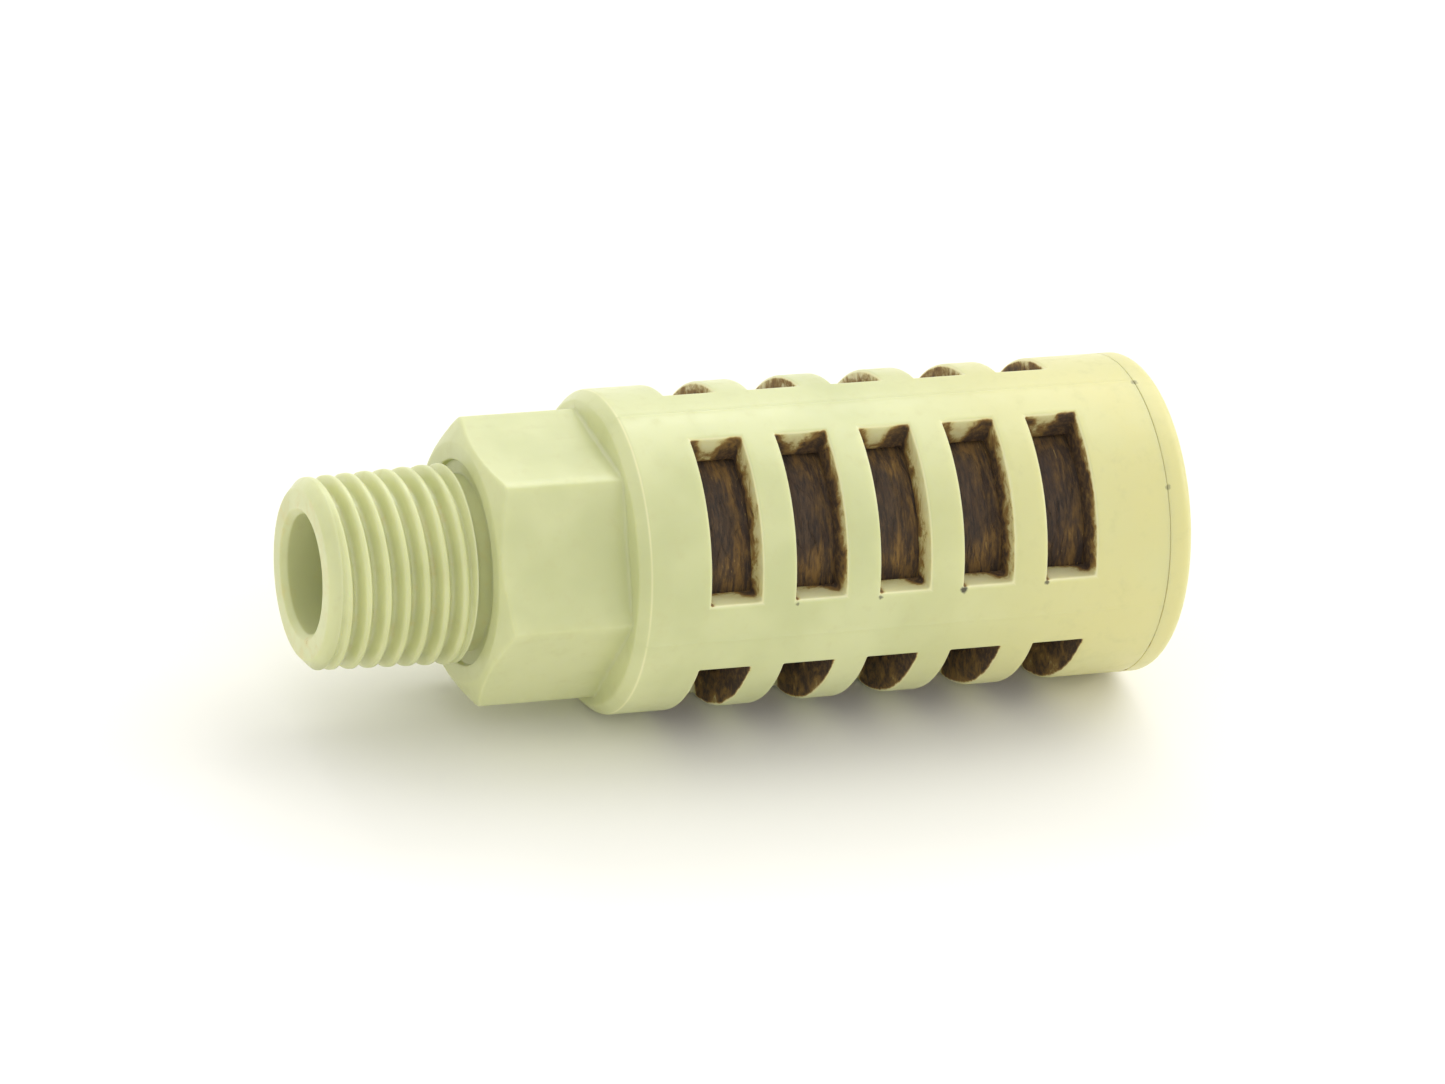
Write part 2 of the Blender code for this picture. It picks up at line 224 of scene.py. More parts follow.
class Skin:
    """A closed skin of rings that all have the same columns, with windows cut through it."""

    def __init__(self, angles):
        self.angles = np.array(angles)
        self.points = []
        self.faces = []
        self.rounded = set()

    def ring(self, x, radius):
        first = len(self.points)
        shape = self.angles.shape
        x = np.broadcast_to(x, shape)
        radius = np.broadcast_to(radius, shape)
        across = -radius * np.cos(self.angles)
        up = radius * np.sin(self.angles)
        self.points += list(zip(x.tolist(), across.tolist(), up.tolist()))
        return first

    def band(self, a, b, skipped=frozenset()):
        count = len(self.angles)
        for j in range(count):
            if j not in skipped:
                k = (j + 1) % count
                self.faces.append((a + j, a + k, b + k, b + j))

    def columns_between(self, low, high):
        """The columns whose quads lie between two angles."""
        nearby = (self.angles - low + 1e-6) % math.tau
        return frozenset(np.nonzero(nearby < high - low - 1e-5)[0].tolist())

    def loop(self, rows, windows=()):
        """Closes the rows into one skin. windows are (x low, x high, angle low, angle high)."""
        firsts = [self.ring(x, r) for x, r in rows]
        places = [(float(np.mean(x)), float(np.mean(r))) for x, r in rows]
        cut = [(w[0], w[1], self.columns_between(w[2], w[3])) for w in windows]
        middle = (min(r for _, r in places) + max(r for _, r in places)) / 2
        if windows:
            inside = [r for x, r in places if windows[0][0] < x < windows[0][1]]
            middle = (min(inside) + max(inside)) / 2
        for i, first in enumerate(firsts):
            after = (i + 1) % len(firsts)
            x = (places[i][0] + places[after][0]) / 2
            skipped = set()
            for low, high, columns in cut:
                if low < x < high:
                    skipped |= columns
            self.band(first, firsts[after], skipped)
        outer = {round(x, 7): f for (x, r), f in zip(places, firsts) if r > middle}
        inner = {round(x, 7): f for (x, r), f in zip(places, firsts) if r < middle}
        for low, high, columns in cut:
            self.window_wall(outer, inner, low, high, columns)
        return self

    def window_wall(self, outer, inner, low, high, columns):
        """The four walls of one window, and the edges round it that get rounded."""
        count = len(self.angles)
        start = next(j for j in columns if (j - 1) % count not in columns)
        across = [(start + i) % count for i in range(len(columns) + 1)]
        along = sorted(x for x in outer if low - 1e-7 <= x <= high + 1e-7)
        rim = [(along[0], j) for j in across]
        rim += [(x, across[-1]) for x in along[1:]]
        rim += [(along[-1], j) for j in reversed(across[:-1])]
        rim += [(x, across[0]) for x in reversed(along[1:-1])]
        corners = {(x, j) for x in (along[0], along[-1]) for j in (across[0], across[-1])}
        chains = []
        for x, j in rim:
            top, bottom = outer[x] + j, inner[x] + j
            a, b = Vector(self.points[top]), Vector(self.points[bottom])
            chain = [top]
            for k in range(1, WALL_STEPS):
                chain.append(len(self.points))
                self.points.append(tuple(a.lerp(b, k / WALL_STEPS)))
            chain.append(bottom)
            chains.append(chain)
            if (x, j) in corners:
                self.rounded |= {frozenset(pair) for pair in zip(chain, chain[1:])}
        for a, b in zip(chains, chains[1:] + chains[:1]):
            self.rounded |= {frozenset((a[0], b[0])), frozenset((a[-1], b[-1]))}
            for k in range(WALL_STEPS):
                self.faces.append((a[k], b[k], b[k + 1], a[k + 1]))

    def mesh(self, name):
        made = bpy.data.meshes.new(name)
        made.from_pydata(self.points, [], self.faces)
        tidy = bmesh.new()
        tidy.from_mesh(made)
        bmesh.ops.recalc_face_normals(tidy, faces=tidy.faces)
        tidy.to_mesh(made)
        tidy.free()
        weights = made.attributes.new("bevel_weight_edge", "FLOAT", "EDGE")
        for edge in made.edges:
            if frozenset(edge.vertices) in self.rounded:
                weights.data[edge.index].value = 1.0
        return made


def piece(name, mesh):
    obj = bpy.data.objects.new(name, mesh)
    bpy.context.scene.collection.objects.link(obj)
    mesh.shade_smooth()
    return obj


def carry_out(obj):
    """Replaces the object's mesh with what its modifiers make of it."""
    bpy.context.view_layer.update()
    graph = bpy.context.evaluated_depsgraph_get()
    mesh = bpy.data.meshes.new_from_object(obj.evaluated_get(graph))
    obj.modifiers.clear()
    obj.data = mesh
    mesh.shade_smooth()


def round_edges(obj, width):
    bevel = obj.modifiers.new("edges", "BEVEL")
    bevel.width = width
    bevel.segments = 3
    bevel.limit_method = "WEIGHT"
    bevel.use_clamp_overlap = False
    carry_out(obj)


def even_shading(obj):
    weighted = obj.modifiers.new("shading", "WEIGHTED_NORMAL")
    weighted.weight = 60
    weighted.keep_sharp = False


def polar(co):
    """(x, radius, angle) of a point."""
    return co.x, math.hypot(co.y, co.z), math.atan2(co.z, -co.y)


def point_at(x, radius, angle):
    return Vector((x, -radius * math.cos(angle), radius * math.sin(angle)))


def paint(obj, name, value_at):
    """A value on every point of the mesh, from its (x, radius, angle)."""
    layer = obj.data.attributes.new(name, "FLOAT", "POINT")
    layer.data.foreach_set("value", [value_at(*polar(v.co)) for v in obj.data.vertices])


def reshape(obj, move):
    """Moves every point along its own radius by what move says for its (x, radius, angle)."""
    for vertex in obj.data.vertices:
        x, radius, angle = polar(vertex.co)
        vertex.co = point_at(x, radius + move(x, radius, angle), angle)


def clamp(value):
    return min(max(value, 0.0), 1.0)


def ease(value, start, end):
    """0 up to start, 1 from end, and smooth between. End may be below start."""
    t = clamp((value - start) / (end - start))
    return t * t * (3 - 2 * t)


def hump(value, centre, width):
    """1 at the centre, and falling smoothly on both sides, to about a third at a width from it."""
    return math.exp(-(((value - centre) / width) ** 2))


# ---------------------------------------------------------------- cage, hexagon and thread


def window_rows():
    """(low, high) of each row of windows along the axis, the nearest to the cap first."""
    high = CLOSED_END - CLOSED_BAND
    return [
        (high - WINDOW_WIDTH - i * WINDOW_PITCH, high - i * WINDOW_PITCH)
        for i in range(WINDOW_ROWS)
    ]


def column_centres():
    return [FIRST_COLUMN + math.tau * i / WINDOW_COLUMNS for i in range(WINDOW_COLUMNS)]


def body_windows():
    return [
        (low, high, centre - WINDOW_HALF_ANGLE, centre + WINDOW_HALF_ANGLE)
        for low, high in window_rows()
        for centre in column_centres()
    ]


RIB_CENTRES = [FIRST_COLUMN + math.tau * (i + 0.5) / WINDOW_COLUMNS for i in range(WINDOW_COLUMNS)]


def body_angles():
    """Columns every 2 degrees, with more at the hexagon's corners and beside each rib's witness line."""
    angles = set(round(d, 3) for d in np.arange(1, 360, 2.0))
    for corner in range(0, 360, 360 // HEX_SIDES):
        angles |= {(corner + d) % 360 for d in (-0.5, 0.0, 0.5)}
    for rib in RIB_CENTRES:
        beside = (-WITNESS_HALF_DEGREES, WITNESS_HALF_DEGREES)
        angles |= {round(math.degrees(rib) + d, 3) % 360 for d in beside}
    return [math.radians(d) for d in sorted(angles)]


def soft_min(a, b, sharpness):
    """The smaller of two values near 1, with a rounded change from one to the other."""
    return (a**-sharpness + b**-sharpness) ** (-1 / sharpness)


def hexagon_radius(x, angles):
    side = np.mod(angles, math.tau / HEX_SIDES) - math.pi / HEX_SIDES
    hexagon = FLAT_DISTANCE / np.cos(side)
    corner = np.full_like(hexagon, HEX_CORNER / FLAT_DISTANCE)
    hexagon = soft_min(hexagon / FLAT_DISTANCE, corner, HEX_CORNER_SHARPNESS)
    turned = np.full_like(hexagon, (SEAT_RADIUS + SEAT_SLOPE * x) / FLAT_DISTANCE)
    return soft_min(hexagon, turned, SEAT_SHARPNESS) * FLAT_DISTANCE


def thread_radius(x, angles):
    """Taper thread with rounded crests and roots, running out at either end."""
    crest = GAUGE_RADIUS + (x - GAUGE_PLANE) * TAPER
    turn = x / PITCH + angles / math.tau - THREAD_PHASE
    from_crest = np.abs(np.mod(turn + 0.5, 1.0) - 0.5) * 2
    share = np.clip((from_crest - CREST_SHARE) / (1 - 2 * CREST_SHARE), 0, 1)
    share = (1 - THREAD_ROUNDING) * share + THREAD_ROUNDING * share**2 * (3 - 2 * share)
    fade = clamp(min(THREAD_TOP - x, x - THREAD_BOTTOM) / (0.5 * PITCH))
    return crest - THREAD_DEPTH * share * fade


def body_rows(angles):
    """The whole profile: from the rim down the outside to the nose, then back up the inside."""
    rim = SEAM - SEAM_HALF_WIDTH
    edges = [rim - 0.4 * MM]
    for low, high in window_rows():
        edges += [high, low]
    edges.append(SHOULDER + SHOULDER_CHAMFER + 0.4 * MM)
    cage = []
    for a, b in zip(edges, edges[1:]):
        cage += spread(a, b, CAGE_STEP)[:-1]
    cage.append(edges[-1])
    witness = np.zeros_like(angles)
    for rib in RIB_CENTRES:
        apart = np.abs(np.mod(angles - rib + math.pi, math.tau) - math.pi)
        witness[apart < 1e-4] = WITNESS_HEIGHT
    cage_radius = SKIN_RADIUS + witness
    rows = [(rim, CHAMBER_RADIUS + 0.3 * MM, 0.08 * MM), (rim, cage_radius, 0.08 * MM)]
    rows += [(x, cage_radius, 0) for x in cage]
    rows += [
        (SHOULDER + SHOULDER_CHAMFER, cage_radius, 0.25 * MM),
        (SHOULDER, CAGE_RADIUS - SHOULDER_CHAMFER, 0.2 * MM),
    ]
    side = hexagon_radius(SHOULDER, angles)
    rows += [(SHOULDER, side, HEX_FILLET)]
    hexagon = spread(SHOULDER - 2 * HEX_FILLET, 1.2 * MM, 1.1 * MM)
    hexagon += spread(1.05 * MM, 0.03 * MM, 0.085 * MM)
    rows += [(x, hexagon_radius(x, angles), 0) for x in hexagon]
    rows += [
        (0.0, SEAT_RADIUS - 0.06 * MM, 0.05 * MM),
        (0.0, SEAT_BORE, 0.12 * MM),
        (SEAT_RECESS, SEAT_BORE - 0.05 * MM, 0.08 * MM),
        (SEAT_RECESS, RELIEF_RADIUS, 0.15 * MM),
        (THREAD_TOP + 0.3 * MM, RELIEF_RADIUS, 0.1 * MM),
    ]
    thread = spread(THREAD_TOP, THREAD_BOTTOM, PITCH / ROWS_PER_PITCH)
    rows += [(x, thread_radius(x, angles), 0) for x in thread]
    rows += [
        (NOSE, thread_radius(THREAD_BOTTOM, angles) - 0.7 * MM, 0.12 * MM),
        (NOSE, BORE_RADIUS + 0.4 * MM, 0.1 * MM),
        (NOSE + 0.4 * MM, BORE_RADIUS, 0.1 * MM),
    ]
    rows += [(x, BORE_RADIUS, 0) for x in spread(NOSE + 2 * MM, SOCKET_FLOOR - 1 * MM, 3 * MM)]
    rows += [
        (SOCKET_FLOOR, BORE_RADIUS, 0.12 * MM),
        (SOCKET_FLOOR, SOCKET_RADIUS, 0.1 * MM),
        (FLOOR_FACE, SOCKET_RADIUS, 0.12 * MM),
        (FLOOR_FACE, CHAMBER_RADIUS, 0.3 * MM),
    ]
    low_row = min(low for low, _ in window_rows())
    rows += [(x, CHAMBER_RADIUS, 0) for x in reversed(cage) if x > low_row - 2.2 * MM]
    rows += [(rim - 0.3 * MM, CHAMBER_RADIUS, 0.1 * MM)]
    return soften(rows)


def nearest_column(angle):
    """Number of the column of windows an angle belongs to, and the angle from that column's centre."""
    offsets = [math.remainder(angle - centre, math.tau) for centre in column_centres()]
    column = min(range(WINDOW_COLUMNS), key=lambda i: abs(offsets[i]))
    return column, offsets[column]


def nearest_row(x):
    """Number of the row of windows a place belongs to, and how far across the row it is, from 0 to 1."""
    rows = window_rows()
    row = min(range(WINDOW_ROWS), key=lambda i: abs(x - sum(rows[i]) / 2))
    return row, (x - rows[row][0]) / WINDOW_WIDTH


def groove_dirt(x, radius):
    """Grime in the thread's roots, the relief and the corner at the shoulder, and oil mist in the bore."""
    if radius < BORE_RADIUS + 0.3 * MM:
        return 0.12 + 0.4 * ease(x, NOSE, SOCKET_FLOOR)
    if x < THREAD_TOP:
        crest = GAUGE_RADIUS + (x - GAUGE_PLANE) * TAPER
        return 0.36 * ease(crest - radius, 0.35 * THREAD_DEPTH, THREAD_DEPTH) - 0.1
    if x < SEAT_RECESS + 0.05 * MM:
        return 0.3 * ease(radius, SEAT_BORE, RELIEF_RADIUS) - 0.1
    corner = SHOULDER + 0.1 * MM
    return 0.28 * ease(x, corner - 0.9 * MM, corner) * ease(radius, 10.4 * MM, 9.9 * MM) - 0.1


def wall_soot_and_shade(row, column, along, around, depth):
    """Soot on a window's walls, with painted shade in two places, from how far along, around and into the
    wall a place is.
    """
    amount = ROW_SOOT[row]
    head = ease(around, *END_WALLS)
    foot = ease(-around, *END_WALLS)
    side = 0.02 + 0.5 * amount + (0.25 + 0.4 * amount) * depth
    # The lower column's walls are painted much darker, and darker still in a band towards the window's upper
    # end; that band is painted shade under the rib's edge.
    if column == LOWER_COLUMN:
        side = 0.78 + 0.1 * depth + 0.24 * ease(around, 0.2, 0.9) - 0.06 * amount
    if column == UPPER_COLUMN:
        side = 0.3 + 0.3 * amount + 0.5 * depth
    notch = hump(along, 0.42, 0.2)
    top = 0.72 + 0.35 * depth - (1.1 - 0.5 * amount) * notch * (1 - 0.5 * depth)
    # A thin dark line along the neck-side corner of the bottom wall is painted shade.
    corner = 0.9 * hump(along, 0.0, 0.08)
    clump = 0.55 * ease(along, 0.6, 0.95) * ease(depth, 0.1, 0.6)
    bottom = 0.08 + 0.65 * depth * depth + clump + corner
    value = side + (top - side) * head
    return value + (bottom - value) * foot


def seam_soot(x, angle):
    """A thin stain in the groove between cage and cap, stronger on the lower half."""
    low = 0.5 - 0.5 * math.sin(angle)
    return (0.25 + 0.5 * low) * ease(abs(x - SEAM), 0.16 * MM, 0.02 * MM) - 0.2


def body_soot_and_shade(x, radius, angle):
    """How likely soot is at a place on the cage, with painted shade on some window walls: most on the
    windows' walls, and a little in grooves.
    """
    if x > SEAM - 0.5 * MM:
        return seam_soot(x, angle)
    lowest = window_rows()[-1][0]
    if x < lowest - 0.5 * MM:
        inside = FLOOR_FACE - 0.5 * MM < x and radius < CHAMBER_RADIUS + 0.2 * MM
        return 0.9 if inside else groove_dirt(x, radius)
    row, along = nearest_row(x)
    column, offset = nearest_column(angle)
    around = offset / WINDOW_HALF_ANGLE
    depth = clamp((CAGE_RADIUS - radius) / (CAGE_RADIUS - CHAMBER_RADIUS))
    outside = ease(depth, 0.09, 0.0)
    spill = 0.7 * hump(along, 0.92, 0.2) * ease(around, 1.1, 1.0) * ease(around, 0.8, 0.97)
    wall = wall_soot_and_shade(row, column, along, around, depth)
    return wall * (1 - outside) + (spill - 0.3) * outside


def body_painted_glow(x, radius, angle):
    """1 on the windows' rounded rims and a little less on their walls: a painted highlight on the rims and a
    painted glow on the walls, where the resin is coloured paler to stand for light.
    """
    if x < SHOULDER + SHOULDER_CHAMFER or x > SEAM - 1.0 * MM:
        return 0.0
    depth = (CAGE_RADIUS - radius) / (CAGE_RADIUS - CHAMBER_RADIUS)
    rim = ease(depth, 0.026, 0.04) * ease(depth, 0.1, 0.06)
    wall = 0.85 * ease(depth, 0.05, 0.12) * ease(depth, 1.0, 0.8)
    return max(rim, wall)


def make_body():
    angles = np.array(body_angles())
    skin = Skin(angles).loop(body_rows(angles), body_windows())
    body = piece("cage_moulding", skin.mesh("cage_moulding"))
    round_edges(body, WINDOW_EDGE)

    def settle(x, radius, angle):
        """The slight unevenness of a moulded surface, and never outwards."""
        if radius < CAGE_RADIUS - 0.3 * MM or x < SHOULDER:
            return 0.0
        place = point_at(x, radius, angle)
        wave = noise.noise(place * 150) * 0.012 + noise.noise(place * 430) * 0.006
        return (wave - 0.012) * MM

    reshape(body, settle)
    # The soot value also holds painted shade on some window walls.
    paint(body, "soot", body_soot_and_shade)
    # The edge value holds the painted highlight on the window rims and the painted glow on their walls.
    paint(body, "edge", body_painted_glow)
    even_shading(body)
    return body


# ---------------------------------------------------------------- cap


def cap_face(radius, angles):
    """Place along the axis of the cap's outer face: a shallow dish, with four faint round ejector marks."""
    dish = DISH_DEPTH * ease(radius, 9.4 * MM, 2.5 * MM)
    marks = np.zeros_like(angles)
    for turn in EJECTOR_TURNS:
        apart = np.abs(np.mod(angles - turn + math.pi, math.tau) - math.pi)
        away = np.hypot(radius - EJECTOR_CIRCLE, apart * radius)
        rim = np.exp(-(((away - EJECTOR_RADIUS) / EJECTOR_RIM_WIDTH) ** 2))
        marks += EJECTOR_DEPTH * (away < EJECTOR_RADIUS) + EJECTOR_RIM_DEPTH * rim
    return CAP_FACE - dish - marks


def make_cap():
    """From the gate mark in its hollow, over the face and the rounded edge, to the spigot and the boss."""
    angles = np.array(degrees(0, 360, CAP_COLUMN_STEP))
    underside = SEAM + SEAM_HALF_WIDTH
    corners = [
        (GATE_FACE + 0.04 * MM, NEAR_AXIS, 0),
        (GATE_FACE + 0.04 * MM, 0.35 * MM, 0),
        (GATE_FACE + 0.14 * MM, 0.5 * MM, 0),
        (GATE_FACE, 0.75 * MM, 0.08 * MM),
        (GATE_FACE, 1.35 * MM, 0.1 * MM),
        (cap_face(GATE_RADIUS, angles), GATE_RADIUS, 0.1 * MM),
    ]
    corners += [(cap_face(r, angles), r, 0) for r in spread(1.95 * MM, 9.9 * MM, 0.13 * MM)]
    for k in range(CAP_EDGE_STEPS + 1):
        turn = k / CAP_EDGE_STEPS * math.pi / 2
        x = CAP_FACE - CAP_EDGE + CAP_EDGE * math.cos(turn)
        corners.append((x, SKIN_RADIUS - CAP_EDGE + CAP_EDGE * math.sin(turn), 0))
    corners += [
        (underside, SKIN_RADIUS, 0.08 * MM),
        (underside, CHAMBER_RADIUS - 0.25 * MM, 0.06 * MM),
        (SPIGOT_FACE, CHAMBER_RADIUS - 0.3 * MM, 0.2 * MM),
        (SPIGOT_FACE, BOSS_RADIUS + 0.05 * MM, 0.15 * MM),
        (BOSS_FACE + 0.55 * MM, BOSS_RADIUS, 0.1 * MM),
        (BOSS_FACE, BOSS_RADIUS - 0.6 * MM, 0.15 * MM),
        (BOSS_FACE, NEAR_AXIS, 0),
    ]
    skin = Skin(angles).loop(soften(corners))
    cap = piece("cap_moulding", skin.mesh("cap_moulding"))

    def soot(x, radius, angle):
        if x < SPIGOT_FACE + 0.1 * MM:
            return 0.6
        if radius < 2.0 * MM:
            return 0.32 * ease(radius, 1.75 * MM, 1.3 * MM) - 0.2
        return seam_soot(x, angle)

    paint(cap, "soot", soot)
    even_shading(cap)
    return cap


# ---------------------------------------------------------------- sleeve and core


def nearest_window(x, angle):
    """1 in the middle of a window and 0 at its edges and beyond."""
    along = max(1 - abs(2 * x - low - high) / (high - low) for low, high in window_rows())
    around = max(
        1 - abs(math.remainder(angle - c, math.tau)) / WINDOW_HALF_ANGLE
        for c in column_centres()
    )
    return ease(along, 0, 0.8) * ease(around, 0, 0.35)


def mat_height(x, angle):
    """Height of the fibre mat over its base radius: long strands round the sleeve, and tufts."""
    arc = angle * SLEEVE_RADIUS
    strands = noise.noise(Vector((arc * 260, x * 3400, 1.7)))
    strands += 0.6 * noise.noise(Vector((arc * 700, x * 7000 + arc * 900, 5.1)))
    tufts = noise.noise(Vector((arc * 420, x * 420, 9.3)))
    return (0.045 * strands + 0.07 * tufts) * MM


def mat_ochre_and_shade(x, radius, angle):
    """Share of ochre streaks in the mat: more towards the closed-end side and the ends of each window. Less
    ochre on the neck side of each window leaves the mat dark there, which is painted shade from the ring.
    """
    _, along = nearest_row(x)
    _, offset = nearest_column(angle)
    around = offset / WINDOW_HALF_ANGLE
    return clamp(0.15 + 0.75 * ease(along, 0.1, 0.85) + 0.5 * ease(abs(around - 0.1), 0.4, 0.85) - 0.35)


def make_sleeve():
    angles = degrees(-SLEEVE_BACK, 360 - SLEEVE_BACK, SLEEVE_COLUMN_STEP)
    low, high = SLEEVE_START + SLEEVE_CORNER, SLEEVE_END - SLEEVE_CORNER
    rows = []
    for x in spread(high, low, MAT_STEP):
        lift = [mat_height(x, a) + MAT_BULGE * nearest_window(x, a) for a in angles]
        rows.append((x, np.clip(MAT_BASE + np.array(lift), 0, MAT_TOP), 0))
    rows += [
        (SLEEVE_START, SLEEVE_RADIUS - SLEEVE_CORNER, 0.1 * MM),
        (SLEEVE_START, SLEEVE_BORE, 0.1 * MM),
    ]
    rows += [(x, SLEEVE_BORE, 0) for x in spread(low, high, 1.5 * MM)]
    rows += [
        (SLEEVE_END, SLEEVE_BORE + SLEEVE_CORNER, 0.1 * MM),
        (SLEEVE_END, SLEEVE_RADIUS - SLEEVE_CORNER, 0.1 * MM),
    ]
    skin = Skin(angles).loop(soften(rows))
    add_loose_fibres(skin)
    sleeve = piece("fibre_sleeve", skin.mesh("fibre_sleeve"))
    paint(sleeve, "ochre", mat_ochre_and_shade)
    unroll(sleeve)
    return sleeve


def unroll(sleeve):
    """Gives each point its place on the flat mat: round the sleeve, along it, and outwards."""
    layer = sleeve.data.attributes.new("around", "FLOAT_VECTOR", "POINT")
    values = []
    for vertex in sleeve.data.vertices:
        x, radius, angle = polar(vertex.co)
        arc = ((angle + math.radians(SLEEVE_BACK)) % math.tau) * SLEEVE_RADIUS
        values += [arc, x, radius]
    layer.data.foreach_set("vector", values)


def add_loose_fibres(skin):
    """Fine fibres that lie along the mat and lift off it at their ends, as closed tubes."""
    draw = random.Random(LOOSE_FIBRE_SEED)
    rows = window_rows()
    centres = column_centres()
    for _ in range(LOOSE_FIBRES):
        low, high = draw.choice(rows)
        x = draw.uniform(low, high)
        angle = draw.choice(centres) + draw.uniform(-1, 1) * WINDOW_HALF_ANGLE
        sweep = draw.uniform(0.08, 0.3) * draw.choice((-1, 1))
        drift = draw.gauss(0, 0.35) * MM
        lift = draw.uniform(0.02, 0.16) * MM
        thickness = draw.uniform(0.012, 0.026) * MM
        path = []
        for k in range(LOOSE_FIBRE_STEPS + 1):
            t = k / LOOSE_FIBRE_STEPS
            radius = LOOSE_FIBRE_BASE + lift * (2 * abs(t - 0.5)) ** 2
            bend = 0.12 * MM * math.sin(math.tau * t * 0.7 + sweep * 40)
            path.append(point_at(x + drift * t + bend, min(radius, LOOSE_FIBRE_TOP), angle + sweep * t))
        add_tube(skin, path, thickness)


def add_tube(skin, path, thickness):
    """A thin closed tube along a path, thinner at both ends."""
    first = len(skin.points)
    for k, place in enumerate(path):
        before, after = path[max(k - 1, 0)], path[min(k + 1, len(path) - 1)]
        ahead = (after - before).normalized()
        side = ahead.cross(Vector((1, 0, 0))).normalized()
        up = ahead.cross(side)
        width = thickness * (0.35 + 0.65 * math.sin(math.pi * k / (len(path) - 1)))
        for s in range(TUBE_SIDES):
            turn = math.tau * s / TUBE_SIDES
            skin.points.append(tuple(place + (side * math.cos(turn) + up * math.sin(turn)) * width))
    for k in range(len(path) - 1):
        ring = first + k * TUBE_SIDES
        for s in range(TUBE_SIDES):
            a, b = ring + s, ring + (s + 1) % TUBE_SIDES
            skin.faces.append((a, b, b + TUBE_SIDES, a + TUBE_SIDES))
    last = first + (len(path) - 1) * TUBE_SIDES
    skin.faces.append(tuple(first + s for s in range(TUBE_SIDES)))
    skin.faces.append(tuple(last + s for s in reversed(range(TUBE_SIDES))))


def make_core():
    angles = degrees(1, 361, 3)
    starts = [CORE_FIRST_SLOT + i * CORE_SLOT_PITCH for i in range(CORE_SLOT_ROWS)]
    slots = [(low, low + CORE_SLOT_LENGTH) for low in starts]
    edges = [CORE_START + 0.4 * MM]
    for low, high in slots:
        edges += [low, high]
    edges.append(CORE_END - 0.4 * MM)
    places = []
    for a, b in zip(edges, edges[1:]):
        places += spread(a, b, 0.9 * MM)[:-1]
    places.append(edges[-1])
    rows = [(CORE_START, CORE_RADIUS, 0.1 * MM)]
    rows += [(x, CORE_RADIUS, 0) for x in places]
    rows += [(CORE_END, CORE_RADIUS, 0.1 * MM), (CORE_END, CORE_BORE, 0.1 * MM)]
    rows += [(x, CORE_BORE, 0) for x in reversed(places)]
    rows += [(CORE_START, CORE_BORE, 0.1 * MM)]
    centres = [CORE_FIRST_COLUMN + math.tau / CORE_COLUMNS * i for i in range(CORE_COLUMNS)]
    windows = [
        (low, high, c - CORE_SLOT_HALF_ANGLE, c + CORE_SLOT_HALF_ANGLE)
        for low, high in slots
        for c in centres
    ]
    skin = Skin(angles).loop(soften(rows), windows)
    core = piece("core_moulding", skin.mesh("core_moulding"))
    round_edges(core, CORE_EDGE)
    paint(core, "soot", lambda x, radius, angle: CORE_SOOT)
    even_shading(core)
    return core


# ---------------------------------------------------------------- materials


class Graph:
    """A material's node tree, with short ways to add and link its nodes."""

    def __init__(self, name):
        self.material = bpy.data.materials.new(name)
        self.material.use_nodes = True
        self.tree = self.material.node_tree
        self.shader = self.tree.nodes["Principled BSDF"]

    def fill(self, node, inputs):
        for key, value in inputs.items():
            if isinstance(value, bpy.types.NodeSocket):
                self.tree.links.new(value, node.inputs[key])
            else:
                node.inputs[key].default_value = value

    def add(self, kind, inputs=None, **settings):
        node = self.tree.nodes.new(kind)
        for key, value in settings.items():
            setattr(node, key, value)
        self.fill(node, inputs or {})
        return node

    def metres(self):
        return self.add("ShaderNodeTexCoord").outputs["Object"]

    def attribute(self, name, output="Fac"):
        return self.add("ShaderNodeAttribute", attribute_name=name).outputs[output]

    def noise(self, vector, scale, detail=3.0, roughness=0.5, distortion=0.0):
        values = {
            "Vector": vector,
            "Scale": scale,
            "Detail": detail,
            "Roughness": roughness,
            "Distortion": distortion,
        }
        return self.add("ShaderNodeTexNoise", values).outputs["Fac"]

    def math(self, operation, a, b=0.0, c=0.0):
        return self.add("ShaderNodeMath", {0: a, 1: b, 2: c}, operation=operation).outputs[0]

    def span(self, value, low, high, to_low=0.0, to_high=1.0):
        values = {"Value": value, "From Min": low, "From Max": high, "To Min": to_low, "To Max": to_high}
        return self.add("ShaderNodeMapRange", values, interpolation_type="SMOOTHSTEP").outputs[0]

    def mix(self, share, a, b):
        """Colour a where the share is 0, and b where it is 1. The sockets go by number, as names repeat."""
        node = self.add("ShaderNodeMix", data_type="RGBA")
        self.fill(node, {0: share, 6: a, 7: b})
        return node.outputs[2]

    def bump(self, height, strength, distance):
        values = {"Height": height, "Strength": strength, "Distance": distance}
        return self.add("ShaderNodeBump", values).outputs["Normal"]


def tone(red, green, blue):
    """A colour given as it looks on a screen, from 0 to 255, as the linear colour that shaders take."""
    linear = [((c / 255 + 0.055) / 1.055) ** 2.4 for c in (red, green, blue)]
    return (*linear, 1.0)


GREEN_CREAM = tone(209, 212, 160)
GREEN_CREAM_DEEP = tone(197, 201, 147)
WARM_CREAM = tone(217, 211, 148)
CAP_CREAM = tone(224, 217, 153)
CAP_CREAM_DEEP = tone(217, 209, 142)
CORE_CREAM = tone(206, 196, 148)
CORE_CREAM_DEEP = tone(188, 176, 126)
CORE_CREAM_WARM = tone(190, 178, 126)
MOTTLE = tone(196, 194, 140)
